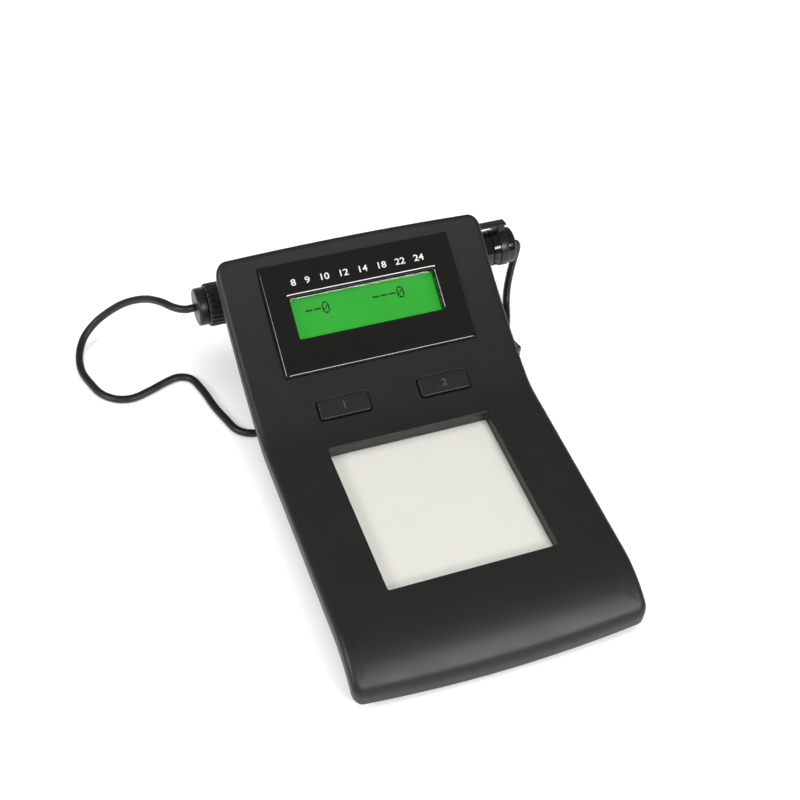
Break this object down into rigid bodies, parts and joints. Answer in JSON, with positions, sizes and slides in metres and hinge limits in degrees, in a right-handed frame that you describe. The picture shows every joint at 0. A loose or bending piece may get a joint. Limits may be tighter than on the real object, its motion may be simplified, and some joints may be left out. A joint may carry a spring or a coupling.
{
  "type": "electronic gold tester",
  "caption": "Desk gold tester with a bare test plate in a square well, a green lit display on a raised ramp, push keys and a corded probe pen stored across the back.",
  "frame": {"origin": "centre of the test plate's top face", "axes": "+Z out of the test plate, +Y towards the display end, +X to the user's right"},
  "size_m": [0.1952, 0.2099, 0.054],
  "materials": {
    "housing": "fine satin texture",
    "panel": "polished",
    "window": "clear",
    "metal_frame": "black",
    "lcd_field": "lit green",
    "diffuser": "milky",
    "board": "solder mask",
    "key": "satin",
    "chip": "moulded",
    "plate": "fine satin",
    "contact": "bright",
    "steel": "plain",
    "pen": "polished",
    "plug": "satin",
    "cord": "soft satin",
    "switch": "semi-gloss",
    "cell": "plain sleeve",
    "foot": "matte"
  },
  "bodies": {
    "housing": {"top_cover": "housing", "base_shell": "housing", "display_panel": "panel", "display_window": "window", "lcd_frame": "metal_frame", "lcd_glass": "lcd_field", "lcd_backlight": "diffuser", "lcd_board": "board", "key_switches": "chip", "key_board": "board", "test_plate": "plate", "plate_contact": "contact", "main_board": "board", "main_chip": "chip", "board_capacitors": "steel", "probe_socket": "plug", "socket_contacts": "contact", "probe_cord": "cord", "switch_frame": "switch", "battery_cells": "cell", "battery_contacts": "steel", "rubber_feet": "foot", "case_screws": "steel", "board_screws": "steel"},
    "left_key": {"left_key": "key"},
    "right_key": {"right_key": "key"},
    "rocker": {"switch_rocker": "switch"},
    "door": {"battery_door": "housing"},
    "pen": {"pen_barrel": "pen", "pen_tail_cap": "pen", "pen_clip": "pen", "pen_nose": "pen", "pen_electrode": "steel"},
    "plug": {"plug_ring": "plug", "plug_shell": "plug", "plug_insert": "steel"}
  },
  "joints": [
    {"name": "left_key_press", "type": "slide", "parent": "housing", "child": "left_key", "axis": [0, 0.3632, -0.9317], "range_m": [0, 0.0008], "stiffness_N_per_m": 400},
    {"name": "right_key_press", "type": "slide", "parent": "housing", "child": "right_key", "axis": [0, 0.3632, -0.9317], "range_m": [0, 0.0008], "stiffness_N_per_m": 400},
    {"name": "power_rocker", "type": "hinge", "parent": "housing", "child": "rocker", "pos_m": [0.0571, 0.072, -0.002], "axis": [0, 0, 1], "range_deg": [-16, 0]},
    {"name": "battery_door_slide", "type": "slide", "parent": "housing", "child": "door", "axis": [0, 1, 0], "range_m": [0, 0.038]},
    {"name": "pen_slide", "type": "slide", "parent": "housing", "child": "pen", "axis": [1, 0, 0], "range_m": [0, 0.088], "deforming": ["probe_cord"]},
    {"name": "plug_slide", "type": "slide", "parent": "housing", "child": "plug", "axis": [-1, 0, 0], "range_m": [0, 0.009], "deforming": ["probe_cord"]}
  ]
}
